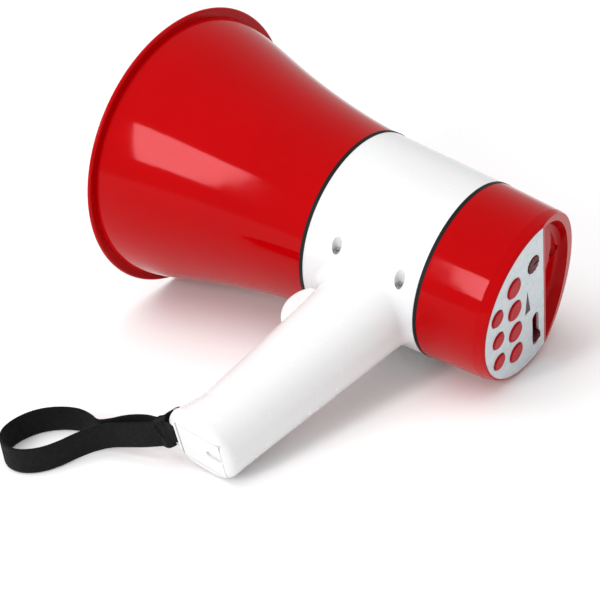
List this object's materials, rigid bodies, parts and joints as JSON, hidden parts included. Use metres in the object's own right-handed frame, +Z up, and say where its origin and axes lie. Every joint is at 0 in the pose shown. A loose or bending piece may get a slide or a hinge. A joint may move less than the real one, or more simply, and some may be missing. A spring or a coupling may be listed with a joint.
{
  "type": "handheld megaphone",
  "caption": "Handheld megaphone with flared bell, pistol handle, press-to-talk trigger, rear control panel and wrist strap, lying on its side.",
  "frame": {"origin": "centre of the bounding box without the strap, on the table that the megaphone lies on", "axes": "+Z up from the table, on which the megaphone lies on its right side; +X from the bell towards the rear cap, level; -Y towards the handle"},
  "size_m": [0.2404, 0.2763, 0.1579],
  "materials": {
    "red_gloss": "high-gloss red moulded plastic",
    "white_gloss": "satin-gloss white moulded plastic",
    "black_rubber": "soft black rubber ring",
    "panel_silver": "silver-grey speckled film on plastic",
    "button_red": "translucent red silicone key",
    "dial_dark": "dark red knurled plastic",
    "black_plastic": "fine-textured black plastic",
    "lens": "smoked red lens",
    "steel": "zinc-plated steel",
    "spring_steel": "bright spring wire",
    "paper_cone": "pressed black paper pulp",
    "spider_cloth": "resin-treated cloth",
    "copper_coil": "enamelled copper winding",
    "ferrite": "sintered ferrite",
    "brass_contact": "plated spring brass",
    "board_green": "solder-masked fibreglass board",
    "aluminium": "extruded aluminium",
    "capacitor_sleeve": "shrink sleeve",
    "cell_wrap": "bright yellow-green shrink sleeve, plain",
    "webbing": "woven black polyester webbing"
  },
  "bodies": {
    "megaphone": {"amplifier_chip": "black_plastic", "battery_cell": "cell_wrap", "battery_tube": "black_plastic", "bell": "red_gloss", "body_screws": "steel", "body_shell_left": "white_gloss", "body_shell_right": "white_gloss", "capacitors": "capacitor_sleeve", "contact_plate": "brass_contact", "control_board": "board_green", "control_panel": "panel_silver", "door_pin": "steel", "front_gasket": "black_rubber", "heat_sink": "aluminium", "indicator_led": "lens", "indicator_lens": "lens", "main_board": "board_green", "microphone_boot": "black_rubber", "microphone_capsule": "aluminium", "rear_cap": "red_gloss", "rear_gasket": "black_rubber", "slide_switch": "steel", "speaker_cone": "paper_cone", "speaker_dust_cap": "paper_cone", "speaker_frame": "steel", "speaker_gasket": "black_rubber", "speaker_magnet": "ferrite", "speaker_screws": "steel", "speaker_spider": "spider_cloth", "speaker_surround": "black_rubber", "speaker_top_plate": "steel", "speaker_yoke": "steel", "strap_bar": "steel", "strap_tab": "webbing", "switch_bracket": "white_gloss", "tact_switches": "black_plastic", "throat_grille": "black_plastic", "transformer": "copper_coil", "trigger_switch": "black_plastic", "voice_coil": "copper_coil", "volume_potentiometer": "black_plastic", "wrist_strap": "webbing"},
    "trigger": {"trigger": "white_gloss", "trigger_spring": "spring_steel"},
    "battery_door": {"battery_door": "white_gloss", "door_spring": "spring_steel"},
    "volume_knob": {"volume_knob": "dial_dark"},
    "switch_lever": {"switch_lever": "dial_dark"},
    "big_button_1": {"big_button_1": "button_red"},
    "big_button_2": {"big_button_2": "button_red"},
    "big_button_3": {"big_button_3": "button_red"},
    "big_button_4": {"big_button_4": "button_red"},
    "small_button_1": {"small_button_1": "button_red"},
    "small_button_2": {"small_button_2": "button_red"},
    "small_button_3": {"small_button_3": "button_red"}
  },
  "joints": [
    {"name": "trigger_press", "type": "slide", "parent": "megaphone", "child": "trigger", "axis": [0.987, 0, -0.1607], "range_m": [0, 0.0022], "stiffness_N_per_m": 400, "springref_m": -0.002, "deforming": ["trigger_spring"]},
    {"name": "battery_door_hinge", "type": "hinge", "parent": "megaphone", "child": "battery_door", "pos_m": [0.01812, -0.11314, 0.01982], "axis": [-0.1558, 0.2464, -0.9566], "range_deg": [0, 100]},
    {"name": "volume_turn", "type": "hinge", "parent": "megaphone", "child": "volume_knob", "pos_m": [0.11728, 0.03252, 0.06629], "axis": [0.987, 0, -0.1607], "range_deg": [-135, 135]},
    {"name": "switch_slide", "type": "slide", "parent": "megaphone", "child": "switch_lever", "axis": [0.1558, -0.2464, 0.9566], "range_m": [0, 0.011]},
    {"name": "big_button_1_press", "type": "slide", "parent": "megaphone", "child": "big_button_1", "axis": [-0.987, 0, 0.1607], "range_m": [0, 0.0008], "stiffness_N_per_m": 800, "springref_m": -0.0006},
    {"name": "big_button_2_press", "type": "slide", "parent": "megaphone", "child": "big_button_2", "axis": [-0.987, 0, 0.1607], "range_m": [0, 0.0008], "stiffness_N_per_m": 800, "springref_m": -0.0006},
    {"name": "big_button_3_press", "type": "slide", "parent": "megaphone", "child": "big_button_3", "axis": [-0.987, 0, 0.1607], "range_m": [0, 0.0008], "stiffness_N_per_m": 800, "springref_m": -0.0006},
    {"name": "big_button_4_press", "type": "slide", "parent": "megaphone", "child": "big_button_4", "axis": [-0.987, 0, 0.1607], "range_m": [0, 0.0008], "stiffness_N_per_m": 800, "springref_m": -0.0006},
    {"name": "small_button_1_press", "type": "slide", "parent": "megaphone", "child": "small_button_1", "axis": [-0.987, 0, 0.1607], "range_m": [0, 0.0008], "stiffness_N_per_m": 800, "springref_m": -0.0006},
    {"name": "small_button_2_press", "type": "slide", "parent": "megaphone", "child": "small_button_2", "axis": [-0.987, 0, 0.1607], "range_m": [0, 0.0008], "stiffness_N_per_m": 800, "springref_m": -0.0006},
    {"name": "small_button_3_press", "type": "slide", "parent": "megaphone", "child": "small_button_3", "axis": [-0.987, 0, 0.1607], "range_m": [0, 0.0008], "stiffness_N_per_m": 800, "springref_m": -0.0006}
  ]
}
